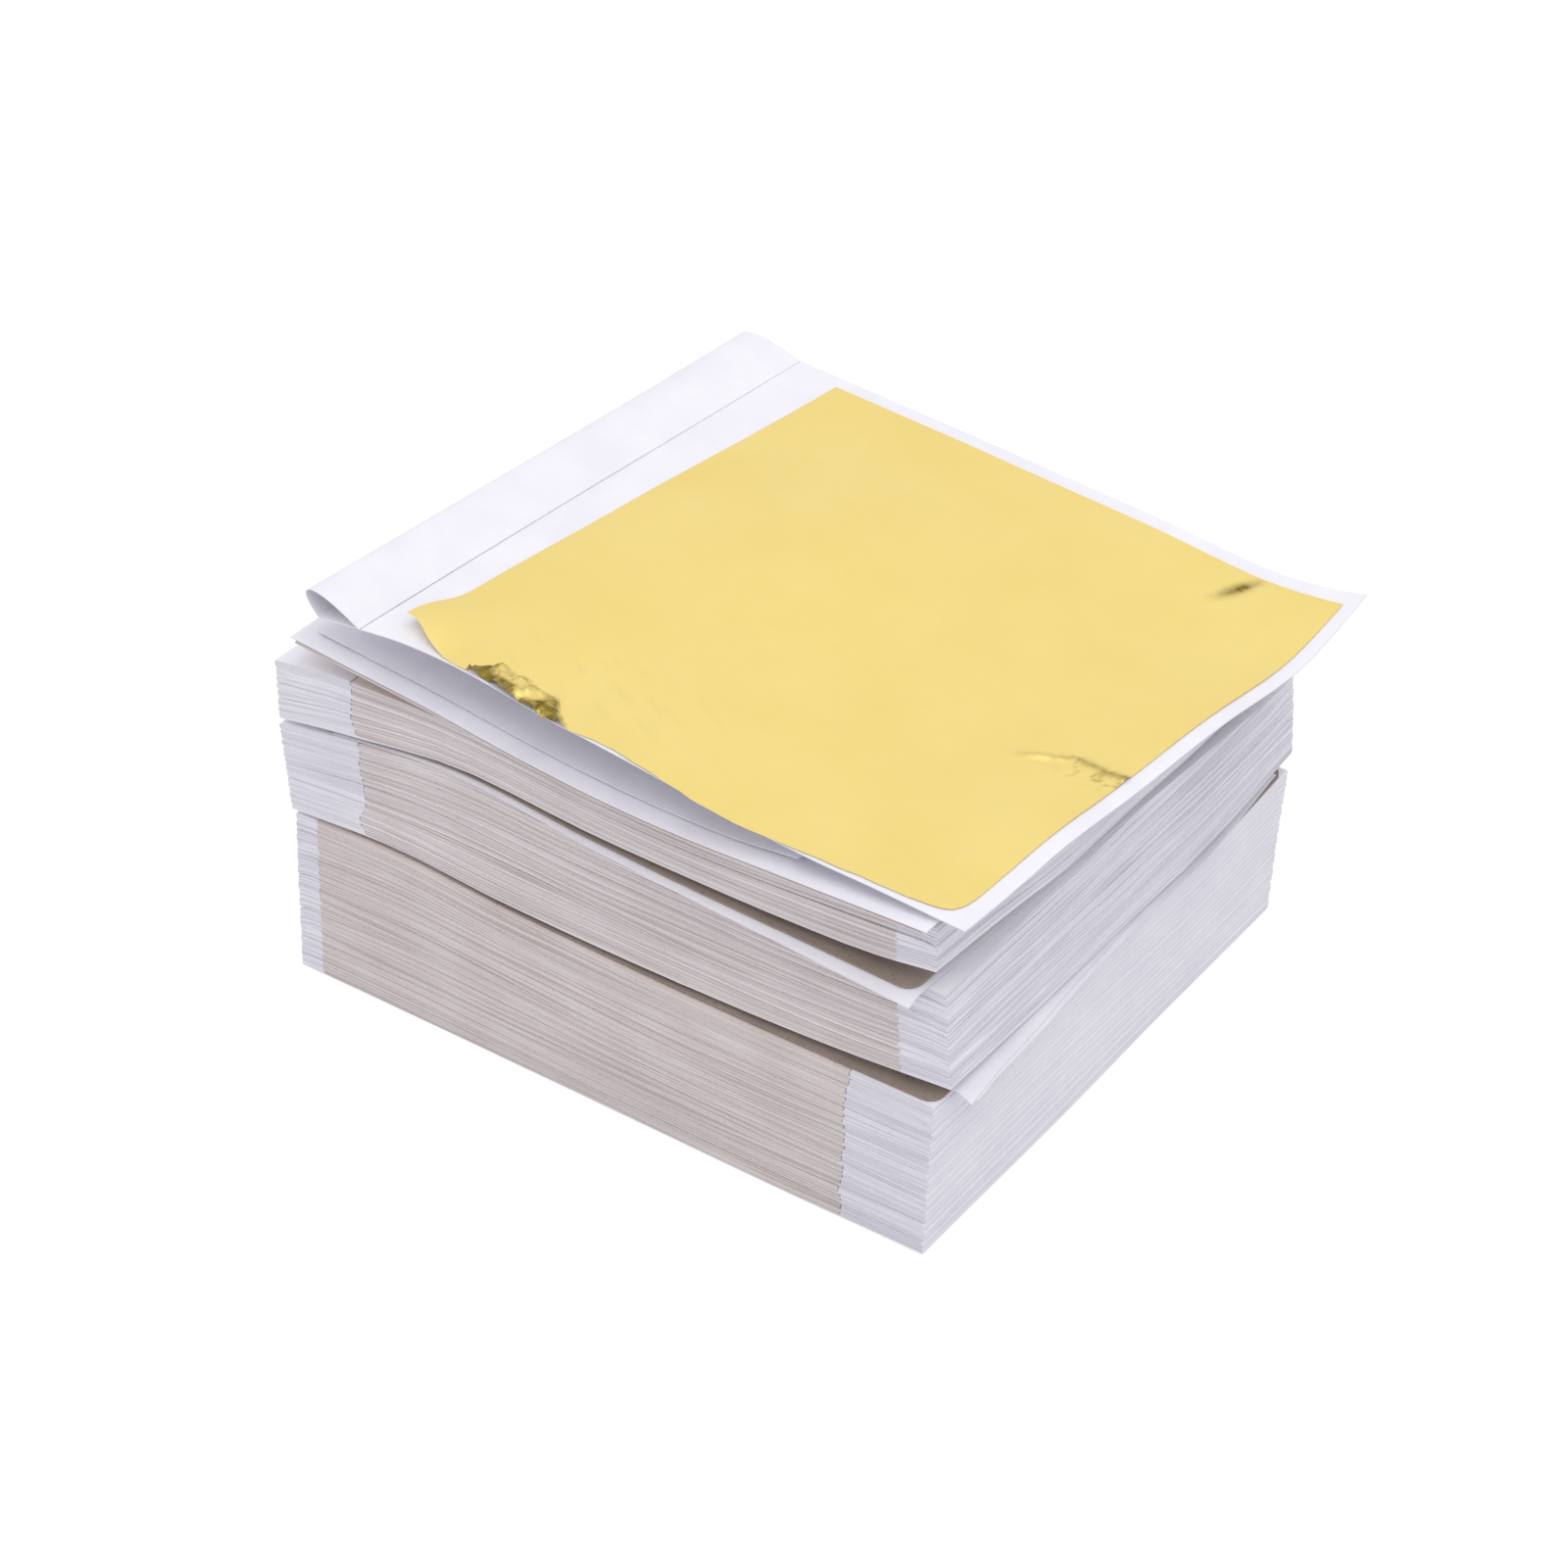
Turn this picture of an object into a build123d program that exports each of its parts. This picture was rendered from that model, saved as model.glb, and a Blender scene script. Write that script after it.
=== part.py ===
from build123d import *

import os
from math import atan2, cos, degrees, pi, radians, sin

# A loose, unbound stack of imitation gold leaf, in millimetres and in real size.
# +Z is up, -Y is the front face with the folded flaps seen end on, and +X is the right-hand end.
# The origin is the middle of the bottom bundle's footprint, on the surface that it rests on.
# Each folio is a tissue folder with one short flap, a grey-brown backing sheet and one gold leaf.
# The folios lie in three bundles, and two loose folios lie opened out on top of them.

os.makedirs("parts", exist_ok=True)

# Sheets of one folio
folio_length = 99.0
folio_width = 84.0
flap_length = 12.3
flap_edge_gap = 0.50
leaf_length = 84.0
leaf_width = 80.0
tissue_thickness = 0.22
backing_thickness = 0.40
leaf_thickness = 0.10

# Bundles: how many folios each holds, the air between one folio and the next, and how the middle
# bundle lies turned and shifted on the bottom one
bottom_count = 24
middle_count = 16
top_count = 8
bottom_air = 0.19
middle_back_air = 0.08
middle_front_air = 0.22
top_air = 0.11
wedge_gap = 2.30
middle_shift_y = 0.60
middle_turn = 1.0

# Each folio slips a little out of line, turning by a fixed angle from one folio to the next
slip_reach = 0.20
slip_turn = 137.5

# Clearances between pieces that lift off one another
flat_clearance = 0.10
curl_clearance = 0.25

# Loose sheets between the bundles
loose_backing_length = 92.0
loose_backing_width = 83.0
loose_backing_corner = 4.0
lower_tissue_length = 94.0
lower_tissue_width = 78.0
lower_tissue_reach = 3.2
lower_slip_length = 40.0
lower_slip_width = 60.0
lower_slip_reach = 1.6
upper_tissue_length = 90.0
upper_tissue_width = 82.0
upper_tissue_reach = 1.8

# The opened second folio, bowed so that both its ends lift
second_backing_length = 96.0
second_shift_x = 2.2
second_shift_y = -1.8
second_turn = -1.5
second_bow = 1.9

# The narrow cover slip between the second folio and the top folio
cover_slip_length = 75.0
cover_slip_width = 76.0
cover_slip_shift = -9.0

# The opened top folio: a swell near its crease, and a curl at its back right-hand corner
top_folio_shift_x = 8.7
top_folio_shift_y = -0.8
top_folio_turn = -2.8
top_leaf_shift_x = 5.2
top_leaf_shift_y = -1.2
top_leaf_turn = -1.0
swell_height = 7.0
corner_curl = 2.8
swell_crest_share = 0.15
swell_near_share = 0.40
swell_far_share = 0.66
curl_start_length_share = 0.74
curl_start_width_share = 0.72
curl_strips = 4

# The flap of the top folio stands as a loose roll at its front end and lies flatter at its back.
# Each end of it is a curve that leaves the crease towards its wall and comes down from its crown.
crease_gap = 0.35
roll_lean = 4.5
roll_wall = 4.0
roll_crown_lean = 1.5
roll_crown = 6.0
roll_reach = 6.3
roll_end_rise = 2.6
flat_lean = 1.6
flat_wall = 1.6
flat_crown_reach = 2.5
flat_crown = 2.6
flat_reach = 11.0
flat_end_rise = 2.6

# Points along each curved profile
profile_points = 15

# A folder is two tissues and the room for the backing sheet that its flap is folded over
folder_height = 2 * tissue_thickness + backing_thickness
leaf_level = tissue_thickness + backing_thickness

# A backing sheet is as long as the leaf that lies on it
backing_length = leaf_length


def folder(crease_side):
    """Tissue folder of one folio, its crease towards crease_side along X, on the XY plane."""
    crease = crease_side * folio_length / 2
    bend = crease - crease_side * folder_height / 2
    flap_end = crease - crease_side * flap_length
    inside_crease = crease - crease_side * tissue_thickness
    flap_underside = folder_height - tissue_thickness
    with BuildPart() as sheet:
        with BuildSketch(Plane.XZ.offset(folio_width / 2)):
            with BuildLine():
                ThreePointArc((bend, 0), (crease, folder_height / 2), (bend, folder_height))
                Polyline(
                    (bend, folder_height),
                    (flap_end, folder_height),
                    (flap_end, flap_underside),
                    (bend, flap_underside),
                )
                ThreePointArc(
                    (bend, flap_underside),
                    (inside_crease, folder_height / 2),
                    (bend, tissue_thickness),
                )
                Polyline(
                    (bend, tissue_thickness),
                    (-crease, tissue_thickness),
                    (-crease, 0),
                    (bend, 0),
                )
            make_face()
        extrude(amount=-folio_width)
    return sheet.part


def flat_sheet(length, width, thickness, centre, level, corner=0):
    """Flat sheet centred on a point in X and Y, with its lower face at level."""
    with BuildPart() as sheet:
        with BuildSketch(Plane.XY.offset(level)):
            with Locations(centre):
                if corner:
                    RectangleRounded(length, width, corner)
                else:
                    Rectangle(length, width)
        extrude(amount=thickness)
    return sheet.part


def write_node(label, piece, places=(Location(),)):
    """Copies of one piece at the given places, written as one node of separate solids."""
    with BuildPart() as node:
        with Locations(*places):
            add(piece)
    node.part.label = label
    export_step(node.part, f"parts/{label}.step")


def fan_place(back_level, front_level, shift_x=0, shift_y=0, turn=0):
    """Location of a flat piece that slopes from a level at its back edge to one at its front."""
    tilt = degrees(atan2(front_level - back_level, folio_width))
    return Location((shift_x, shift_y, (back_level + front_level) / 2), (-tilt, 0, turn))


def bundle_places(count, back_level, front_level, back_pitch, front_pitch, shift_y=0, turn=0):
    """One location per folio, each on the one below, fanned open where the pitches differ."""
    places = []
    for number in range(count):
        slip_angle = radians(slip_turn * number)
        place = fan_place(
            back_level + number * back_pitch,
            front_level + number * front_pitch,
            slip_reach * sin(slip_angle),
            shift_y + slip_reach * cos(slip_angle),
            turn,
        )
        places.append(place)
    return places


def inside_centre(length, crease_side):
    """Centre of a sheet that lies in a folder, clear of the flap, with its crease at crease_side."""
    flap_edge = folio_length / 2 - flap_length - flap_edge_gap
    return (crease_side * (flap_edge - length / 2), 0)


def write_bundle(name, crease_side, places):
    """The folders, backing sheets and gold leaves of one bundle."""
    backing = flat_sheet(
        backing_length,
        folio_width,
        backing_thickness,
        inside_centre(backing_length, crease_side),
        tissue_thickness,
    )
    leaf = flat_sheet(
        leaf_length,
        leaf_width,
        leaf_thickness,
        inside_centre(leaf_length, crease_side),
        leaf_level,
    )
    write_node(f"{name}_tissue_folders", folder(crease_side), places)
    write_node(f"{name}_backing_sheets", backing, places)
    write_node(f"{name}_gold_leaves", leaf, places)


def right_end_centre(length, reach=0, centre_y=0):
    """Centre of a sheet whose right-hand end lies a reach past the folios' right-hand end."""
    return (folio_length / 2 + reach - length / 2, centre_y)


# Bottom bundle, with its flaps at the right-hand end
bottom_pitch = folder_height + bottom_air
write_bundle("bottom_bundle", 1, bundle_places(bottom_count, 0, 0, bottom_pitch, bottom_pitch))
bottom_top = bottom_count * bottom_pitch - bottom_air

# Loose sheets on the bottom bundle: a brown backing sheet, then a tissue and a narrow slip
# that are pushed out past the right-hand end
lower_backing_level = bottom_top + flat_clearance
lower_tissue_level = lower_backing_level + backing_thickness
lower_slip_level = lower_tissue_level + tissue_thickness
lower_slip_y = (lower_slip_width - folio_width) / 2

lower_backing = flat_sheet(
    loose_backing_length,
    loose_backing_width,
    backing_thickness,
    right_end_centre(loose_backing_length),
    lower_backing_level,
    loose_backing_corner,
)
write_node("lower_loose_backing_sheet", lower_backing)

lower_tissue = flat_sheet(
    lower_tissue_length,
    lower_tissue_width,
    tissue_thickness,
    right_end_centre(lower_tissue_length, lower_tissue_reach),
    lower_tissue_level,
)
write_node("lower_loose_tissue", lower_tissue)

lower_slip = flat_sheet(
    lower_slip_length,
    lower_slip_width,
    tissue_thickness,
    right_end_centre(lower_slip_length, lower_slip_reach, lower_slip_y),
    lower_slip_level,
)
write_node("lower_loose_slip", lower_slip)

# Middle bundle, with its flaps at the left-hand end, fanned open towards the front
middle_level = lower_slip_level + tissue_thickness + flat_clearance
middle_back_pitch = folder_height + middle_back_air
middle_front_pitch = folder_height + middle_front_air
middle_places = bundle_places(
    middle_count,
    middle_level,
    middle_level,
    middle_back_pitch,
    middle_front_pitch,
    middle_shift_y,
    middle_turn,
)
write_bundle("middle_bundle", -1, middle_places)
middle_back_top = middle_level + middle_count * middle_back_pitch
middle_front_top = middle_level + middle_count * middle_front_pitch

# Loose tissue on the sloping top of the middle bundle, pushed out at the front,
# with a loose backing sheet on it
upper_place = fan_place(middle_back_top, middle_front_top)
upper_tissue_y = (upper_tissue_width - folio_width) / 2 - upper_tissue_reach

upper_tissue = flat_sheet(
    upper_tissue_length,
    upper_tissue_width,
    tissue_thickness,
    right_end_centre(upper_tissue_length, 0, upper_tissue_y),
    0,
)
write_node("upper_loose_tissue", upper_tissue, [upper_place])

upper_backing = flat_sheet(
    loose_backing_length,
    loose_backing_width,
    backing_thickness,
    right_end_centre(loose_backing_length),
    tissue_thickness,
    loose_backing_corner,
)
write_node("upper_loose_backing_sheet", upper_backing, [upper_place])

# Top bundle, with its flaps at the left-hand end, lifted off the slope like a wedge at its back
loose_rise = tissue_thickness + backing_thickness + 2 * flat_clearance
top_back_level = middle_back_top + loose_rise + wedge_gap
top_front_level = middle_front_top + loose_rise
top_pitch = folder_height + top_air
top_places = bundle_places(top_count, top_back_level, top_front_level, top_pitch, top_pitch)
write_bundle("top_bundle", -1, top_places)


def bed_height(place_y):
    """Height of the top bundle's sloping upper side at a place along Y."""
    middle_height = (top_back_level + top_front_level) / 2 + top_count * top_pitch
    return middle_height + (top_back_level - top_front_level) * place_y / folio_width


def sheet_frame(shift_x, shift_y, turn):
    """Upright plane through a sheet's middle, facing the front, for the profiles of its edges."""
    across = (cos(radians(turn)), sin(radians(turn)), 0)
    forwards = (sin(radians(turn)), -cos(radians(turn)), 0)
    return Plane(origin=(shift_x, shift_y, 0), x_dir=across, z_dir=forwards)


def profile(height, length, centre_x, local_y):
    """Points of a sheet's edge, from its left end to its right end, at the heights of a surface."""
    points = []
    for number in range(profile_points):
        local_x = centre_x + length * (number / (profile_points - 1) - 1 / 2)
        points.append((local_x, height(local_x, local_y)))
    return points


def laid_sheet(frame, height, length, width, thickness, centre_x=0, rise=0, rows=(0, 1)):
    """Sheet ruled from front to back through rows at shares of its width, its lower face a rise
    above a surface."""
    middle = rise + thickness / 2
    with BuildPart() as sheet:
        for row in rows:
            row_y = (row - 1 / 2) * width
            with BuildSketch(frame.offset(-row_y)):
                with BuildLine():
                    Spline(*[(x, z + middle) for x, z in profile(height, length, centre_x, row_y)])
                trace(line_width=thickness)
        loft(ruled=True)
    return sheet.part


def second_surface(local_x, local_y):
    """Surface that the second folio lies on, bowed up towards both its ends."""
    bow = second_bow * (2 * local_x / folio_length) ** 2
    return bed_height(second_shift_y + local_y) + flat_clearance + bow


# Second folio, opened out: backing sheet, gold leaf, and the tissue that covers them
second_frame = sheet_frame(second_shift_x, second_shift_y, second_turn)
second_leaf_rise = backing_thickness + flat_clearance
second_tissue_rise = second_leaf_rise + leaf_thickness + flat_clearance
cover_slip_rise = second_tissue_rise + tissue_thickness + flat_clearance

second_backing = laid_sheet(
    second_frame, second_surface, second_backing_length, folio_width, backing_thickness
)
write_node("second_folio_backing_sheet", second_backing)

second_leaf = laid_sheet(
    second_frame,
    second_surface,
    leaf_length,
    leaf_width,
    leaf_thickness,
    rise=second_leaf_rise,
)
write_node("second_folio_gold_leaf", second_leaf)

second_tissue = laid_sheet(
    second_frame,
    second_surface,
    folio_length,
    folio_width,
    tissue_thickness,
    rise=second_tissue_rise,
)
write_node("second_folio_tissue", second_tissue)

# Cover slip, narrower than the folio that it lies on
cover_slip = laid_sheet(
    second_frame,
    second_surface,
    cover_slip_length,
    cover_slip_width,
    tissue_thickness,
    cover_slip_shift,
    cover_slip_rise,
)
write_node("cover_slip", cover_slip)

# The top folio lies on the second folio's lifted right-hand end
lifted_end_rise = second_tissue_rise + tissue_thickness + second_bow
slip_end = abs(cover_slip_shift) + cover_slip_length / 2
slip_end_rise = cover_slip_rise + tissue_thickness + second_bow * (2 * slip_end / folio_length) ** 2
top_rise = max(lifted_end_rise, slip_end_rise) + flat_clearance + curl_clearance


def swell(share):
    """Height of the swell near the crease, at a share of the folio's length from the crease."""
    reach_share = swell_near_share if share < swell_crest_share else swell_far_share
    distance = min(abs(share - swell_crest_share) / reach_share, 1)
    return swell_height * (1 + cos(pi * distance)) / 2


def past(share, start_share):
    """How far a share has gone from a start share to 1, starting gently."""
    return (max(share - start_share, 0) / (1 - start_share)) ** 2


def top_surface(local_x, local_y):
    """Surface that the top folio lies on, with its swell and its curled corner."""
    share_x = local_x / folio_length + 1 / 2
    share_y = local_y / folio_width + 1 / 2
    curl = corner_curl * past(share_x, curl_start_length_share) * past(share_y, curl_start_width_share)
    return bed_height(top_folio_shift_y + local_y) + top_rise + swell(share_x) + curl


# Rows of a curled sheet: one at its front edge, and more from where the curl starts
curl_step = (1 - curl_start_width_share) / curl_strips
curled_rows = [0] + [curl_start_width_share + number * curl_step for number in range(curl_strips + 1)]

# Top folio: its tissue
top_frame = sheet_frame(top_folio_shift_x, top_folio_shift_y, top_folio_turn)
top_paper = laid_sheet(
    top_frame, top_surface, folio_length, folio_width, tissue_thickness, rows=curled_rows
)
write_node("top_folio_tissue", top_paper)


def leaf_surface(leaf_x, leaf_y):
    """The top folio's surface at a place in the plan of the leaf, which lies turned on it."""
    turn = radians(top_leaf_turn)
    return top_surface(
        top_leaf_shift_x + leaf_x * cos(turn) - leaf_y * sin(turn),
        top_leaf_shift_y + leaf_x * sin(turn) + leaf_y * cos(turn),
    )


# Gold leaf that lies bare on the top folio
leaf_middle = top_frame.offset(-top_leaf_shift_y).from_local_coords((top_leaf_shift_x, 0))
leaf_frame = sheet_frame(leaf_middle.X, leaf_middle.Y, top_folio_turn + top_leaf_turn)
top_leaf = laid_sheet(
    leaf_frame,
    leaf_surface,
    leaf_length,
    leaf_width,
    leaf_thickness,
    rise=tissue_thickness + curl_clearance,
    rows=curled_rows,
)
write_node("top_gold_leaf", top_leaf)


# Flap of the top folio, turned over at the crease and hinged along it
crease_x = -folio_length / 2
with BuildPart() as top_flap:
    for edge_y, lean, wall, crown_shift, crown, reach, end_rise in (
        (-folio_width / 2, roll_lean, roll_wall, -roll_crown_lean, roll_crown, roll_reach, roll_end_rise),
        (folio_width / 2, flat_lean, flat_wall, flat_crown_reach, flat_crown, flat_reach, flat_end_rise),
    ):
        crease_z = top_surface(crease_x, edge_y) + tissue_thickness + crease_gap
        with BuildSketch(top_frame.offset(-edge_y)):
            with BuildLine():
                Bezier(
                    (crease_x, crease_z),
                    (crease_x - lean, crease_z + wall),
                    (crease_x + crown_shift, crease_z + crown),
                    (crease_x + reach, crease_z + end_rise),
                )
            trace(line_width=tissue_thickness)
    loft(ruled=True)
write_node("top_folio_flap", top_flap.part)

# Both ends of the crease, which is the axis that the flap turns about
for edge_y in (-folio_width / 2, folio_width / 2):
    crease_z = top_surface(crease_x, edge_y) + tissue_thickness / 2
    print("crease end", top_frame.offset(-edge_y).from_local_coords((crease_x, crease_z)))
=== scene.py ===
# %% [markdown]
# The real thing is a loose, unbound stack of folios. A folio is a sheet of thin white tissue,
# folded over at one end into a short flap, with a grey-brown backing sheet and one sheet of
# imitation gold leaf inside. The folios lie in three bundles with a few stray sheets between them,
# and the two uppermost folios lie opened out, so that the last leaf lies bare on its tissue. Each
# piece made here takes the place of a plainer solid and adds sag, curl, ragged ends and creases.

from math import cos, exp, pi, radians, sin
from types import SimpleNamespace

import bmesh
import bpy
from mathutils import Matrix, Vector, noise


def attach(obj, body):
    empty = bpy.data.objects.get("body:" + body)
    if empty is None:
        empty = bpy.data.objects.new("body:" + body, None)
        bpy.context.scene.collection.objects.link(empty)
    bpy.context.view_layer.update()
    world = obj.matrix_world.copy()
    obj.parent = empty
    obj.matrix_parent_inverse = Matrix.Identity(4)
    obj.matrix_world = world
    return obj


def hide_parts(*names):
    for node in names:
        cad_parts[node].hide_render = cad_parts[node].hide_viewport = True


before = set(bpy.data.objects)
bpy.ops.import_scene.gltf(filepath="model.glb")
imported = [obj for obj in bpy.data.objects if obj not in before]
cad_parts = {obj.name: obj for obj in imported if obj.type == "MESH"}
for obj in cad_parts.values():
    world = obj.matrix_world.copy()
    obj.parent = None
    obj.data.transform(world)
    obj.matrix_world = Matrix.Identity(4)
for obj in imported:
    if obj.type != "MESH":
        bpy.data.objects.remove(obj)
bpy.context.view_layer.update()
scene = bpy.context.scene
print("frame loaded, nodes:", len(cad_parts))

# %% [markdown]
# Blender works in metres, but every shape here is worked out in millimetres and turned to metres at
# the last moment. Folio, flap and leaf have the solids' sizes. +X is the right-hand end, -Y the
# front, +Z up.

# %% Sizes in millimetres
MM = 0.001
FOLIO_LENGTH = 99.0
FOLIO_WIDTH = 84.0
HALF_LENGTH = FOLIO_LENGTH / 2
HALF_WIDTH = FOLIO_WIDTH / 2
FLAP_LENGTH = 12.3
FLAP_GAP = 0.15
LEAF_LENGTH = 84.0
LEAF_WIDTH = 80.0
print("folio:", FOLIO_LENGTH, "x", FOLIO_WIDTH, "leaf:", LEAF_LENGTH, "x", LEAF_WIDTH)

# %% [markdown]
# The camera looks down at the near corner from the right of the front face. Its place comes from
# matching the corners of the three bundles, and it is a long lens, because opposite edges of the
# stack stay nearly parallel.

# %% Camera
LOOK_DOWN = 36.687
LOOK_LEFT = 35.192
camera_data = bpy.data.cameras.new("camera")
camera_data.sensor_width = 36.0
camera_data.lens = 101.25
camera_data.clip_end = 10.0
camera = bpy.data.objects.new("camera", camera_data)
camera.location = (0.26470, -0.37805, 0.36985)
camera.rotation_euler = (radians(90 - LOOK_DOWN), 0, radians(LOOK_LEFT))
scene.collection.objects.link(camera)
scene.camera = camera
scene.view_settings.view_transform = "Standard"
print("camera lens:", camera_data.lens)

# %% [markdown]
# A few small helpers do all of the bending. An eased step blends one shape into another, a curve
# runs smoothly through the stations of a sagging edge, and a wobble gives the slow, uneven
# waviness that thin paper has. The last two numbers of a wobble are its size and its seed. It is
# a fixed noise, so every run gives the same stack.


# %% Helpers for curved paper
def smooth(share):
    """Share from 0 to 1, eased at both ends."""
    share = min(max(share, 0), 1)
    return share * share * (3 - 2 * share)


def between(start, end, value):
    """How far a value has come from start to end, eased."""
    return smooth((value - start) / (end - start))


def past(start, end, value):
    """How far a value has gone past the start, squared, and 1 at the end."""
    return max((value - start) / (end - start), 0) ** 2


def mix(low, high, share):
    """Value a share of the way from low to high."""
    return low + (high - low) * share


def bump(value, centre, reach):
    """Rounded hill of height 1 at the centre, nearly gone at twice the reach."""
    return exp(-(((value - centre) / reach) ** 2))


def wobble(x, y, size, seed):
    """Slow variation from about -1 to 1 over the plan, with hills of a size in millimetres."""
    return noise.noise(Vector((x / size, y / size, seed)))


def turned(x, y, angle):
    """Place in the plan, turned anticlockwise about the middle."""
    return x * cos(angle) - y * sin(angle), x * sin(angle) + y * cos(angle)


print("eased step at a quarter:", smooth(0.25))

# %% [markdown]
# The edge of a sagging bundle is a smooth line through a few heights. Each stretch is a cubic that
# takes its slope at both ends from the neighbouring stations, so it never shows a corner, and past
# both ends the line goes straight on.


# %% Curve through stations
def curve(*stations):
    """Height along a smooth line through stations of place and height."""
    places = [place for place, height in stations]
    heights = [height for place, height in stations]
    last = len(stations) - 1
    slopes = []
    for i in range(last + 1):
        before, after = max(i - 1, 0), min(i + 1, last)
        slopes.append((heights[after] - heights[before]) / (places[after] - places[before]))

    def height_at(place):
        if place <= places[0]:
            return heights[0] + slopes[0] * (place - places[0])
        if place >= places[last]:
            return heights[last] + slopes[last] * (place - places[last])
        i = 0
        while place > places[i + 1]:
            i += 1
        step = places[i + 1] - places[i]
        t = (place - places[i]) / step
        ease = t * t * (3 - 2 * t)
        rise = slopes[i] * step * t * (1 - t) ** 2 - slopes[i + 1] * step * t * t * (1 - t)
        return mix(heights[i], heights[i + 1], ease) + rise

    return height_at


print("curve halfway between two stations:", curve((0, 0), (1, 1))(0.5))

# %% [markdown]
# Every sheet starts as a flat grid with sides of one unit that is extruded upwards by one unit, which
# gives a closed slab with real edges. A place function then carries each point to where it belongs, so
# one slab can become a folded tissue, a sagging backing sheet or a crumpled leaf. Each point also keeps
# its rank in the pile as an attribute. It is a whole number on the faces of a sheet and runs between
# two whole numbers on its edges, and the paper finish uses it to draw lines of painted shade that
# follow the layers. A leaf's points can keep how deep in folds they lie in the same way, which sets the
# painted shade in the leaf's folds.


# %% Helpers for sheets
def new_piece(*more_layers):
    """Empty bmesh whose points can hold their rank, and more layers where they are named."""
    piece = bmesh.new()
    for layer in ("rank", *more_layers):
        piece.verts.layers.float.new(layer)
    return piece


def add_slab(piece, columns, rows, place, rank=0, crease=None):
    """Adds a sheet of columns by rows to a bmesh. place gets a column, a share across and a share
    through the sheet, and answers with a point in millimetres. crease gets a column and a share across,
    and answers with how much painted shade the point gets for lying deep in folds."""
    grid = bmesh.ops.create_grid(piece, x_segments=columns, y_segments=rows, size=0.5)
    faces = list(dict.fromkeys(face for vertex in grid["verts"] for face in vertex.link_faces))
    raised = bmesh.ops.extrude_face_region(piece, geom=faces)
    upper = [part for part in raised["geom"] if isinstance(part, bmesh.types.BMVert)]
    bmesh.ops.translate(piece, verts=upper, vec=(0, 0, 1))
    rank_layer = piece.verts.layers.float["rank"]
    # The crease layer, where there is one, holds how much painted shade the gold finish puts at a
    # point.
    fold_shade_layer = piece.verts.layers.float.get("crease")
    for vertex in [*grid["verts"], *upper]:
        column = round((vertex.co.x + 0.5) * columns)
        across = vertex.co.y + 0.5
        through = vertex.co.z
        vertex[rank_layer] = rank + through
        if crease:
            vertex[fold_shade_layer] = crease(column, across)
        vertex.co = Vector(place(column, across, through)) * MM


def spread(share):
    """Share across a sheet, with rows drawn closer together near both edges."""
    return share - 0.06 * sin(2 * pi * share)


print("second of ten rows, spread:", round(spread(0.1), 3))

# %% [markdown]
# When all sheets of a piece are in its bmesh, the bmesh becomes an object. It is smooth, but the
# thin edges of the sheets stay sharp. The object is then tied to the frame: it takes the place of
# a node of the solids, names the slot of its finish, and rides on the body that the node is on, so
# that it moves with the joints.

# %% Helper that finishes a piece
SHARP_ANGLE = 50


def finish_piece(name, piece, material, node, body):
    """Turns a bmesh into an object that stands for a CAD node and rides on a body."""
    bmesh.ops.recalc_face_normals(piece, faces=piece.faces)
    mesh = bpy.data.meshes.new(name)
    piece.to_mesh(mesh)
    piece.free()
    mesh.shade_smooth()
    mesh.set_sharp_from_angle(angle=radians(SHARP_ANGLE))
    mesh.materials.append(material)
    finished = bpy.data.objects.new(name, mesh)
    scene.collection.objects.link(finished)
    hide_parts(node)
    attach(finished, body)
    mesh.calc_loop_triangles()
    print(name, "triangles:", len(mesh.loop_triangles))


print("edges stay sharp from an angle of", SHARP_ANGLE)

# %% [markdown]
# Materials are node trees. One helper adds a node with its settings and links, and five more stand
# for the kinds that come back often: a calculation, a noise with a real size, a range, a blend of
# two colours and a relief. One function turns colours from sRGB hex values to linear light.


# %% Helpers for materials
def linear(hex_colour):
    """Linear colour with alpha 1 from an sRGB hex value such as F0E6D2."""
    channels = []
    for i in range(0, 6, 2):
        value = int(hex_colour[i : i + 2], 16) / 255
        channels.append(value / 12.92 if value <= 0.04045 else ((value + 0.055) / 1.055) ** 2.4)
    return (*channels, 1.0)


def add_node(tree, kind, inputs=None, **settings):
    """Adds a node, sets its settings, and fills or links its inputs by name or number."""
    node = tree.nodes.new(kind)
    for name, value in settings.items():
        setattr(node, name, value)
    for name, value in (inputs or {}).items():
        if isinstance(value, bpy.types.NodeSocket):
            tree.links.new(value, node.inputs[name])
        else:
            node.inputs[name].default_value = value
    return node


def work_out(tree, operation, first, second):
    """Result of one operation on two values."""
    return add_node(tree, "ShaderNodeMath", {0: first, 1: second}, operation=operation).outputs[0]


def real_noise(tree, points, size, detail, roughness=0.5, distortion=0.0):
    """Noise over the object's own points, with a size in millimetres."""
    inputs = {"Vector": points, "Scale": 1 / (size * MM), "Detail": detail}
    inputs.update({"Roughness": roughness, "Distortion": distortion})
    return add_node(tree, "ShaderNodeTexNoise", inputs).outputs[0]


def ranged(tree, value, low, high, start=0.0, end=1.0):
    """Value that runs from start to end while another runs from low to high."""
    inputs = {"Value": value, "From Min": low, "From Max": high, "To Min": start, "To Max": end}
    return add_node(tree, "ShaderNodeMapRange", inputs).outputs[0]


def blend(tree, share, first, second):
    """Colour a share of the way from the first to the second."""
    return add_node(tree, "ShaderNodeMix", {0: share, 6: first, 7: second}, data_type="RGBA").outputs[2]


def relief(tree, height, strength, depth, **under):
    """Normal of a surface that a height raises by a depth, on a normal under it if one is given."""
    inputs = {"Height": height, "Strength": strength, "Distance": depth, **under}
    return add_node(tree, "ShaderNodeBump", inputs).outputs[0]


def new_material(name):
    """Empty node material and its tree."""
    material = bpy.data.materials.new(name)
    material.use_nodes = True
    material.node_tree.nodes.clear()
    return material, material.node_tree


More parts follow.
